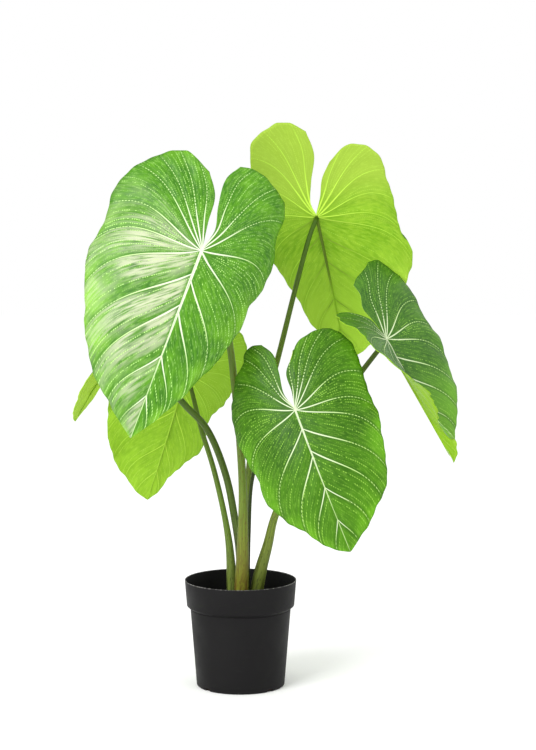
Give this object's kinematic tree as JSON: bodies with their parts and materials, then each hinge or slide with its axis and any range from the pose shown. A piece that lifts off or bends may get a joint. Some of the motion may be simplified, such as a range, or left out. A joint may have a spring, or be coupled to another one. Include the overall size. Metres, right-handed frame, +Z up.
{
  "type": "potted philodendron",
  "caption": "Potted philodendron: broad heart-shaped leaves with pale veins on long bare stalks, in a plain round nursery pot filled with soil.",
  "frame": {"origin": "middle of the pot's flat underside, where it stands on the floor", "axes": "+Z up, -Y towards the front, where two broad leaves show their upper faces, +X to the right"},
  "size_m": [0.5147, 0.3542, 0.7542],
  "materials": {
    "pot": "matt black, moulded",
    "soil": "dark crumbly potting soil",
    "stalk": "smooth olive green stalk",
    "leaf_top": "satin dark green leaf with whitish veins",
    "leaf_under": "matt lime green underside of a leaf"
  },
  "bodies": {
    "root": {"pot": "pot", "soil": "soil", "stalk_front_left": "stalk", "stalk_front_middle": "stalk", "stalk_back_right": "stalk", "stalk_right": "stalk", "stalk_back_left": "stalk", "stalk_far_left": "stalk", "blade_front_left": "leaf_top", "blade_front_middle": "leaf_top", "blade_back_right": "leaf_under", "blade_right": "leaf_top", "blade_back_left": "leaf_under", "blade_far_left": "leaf_under"}
  },
  "joints": []
}
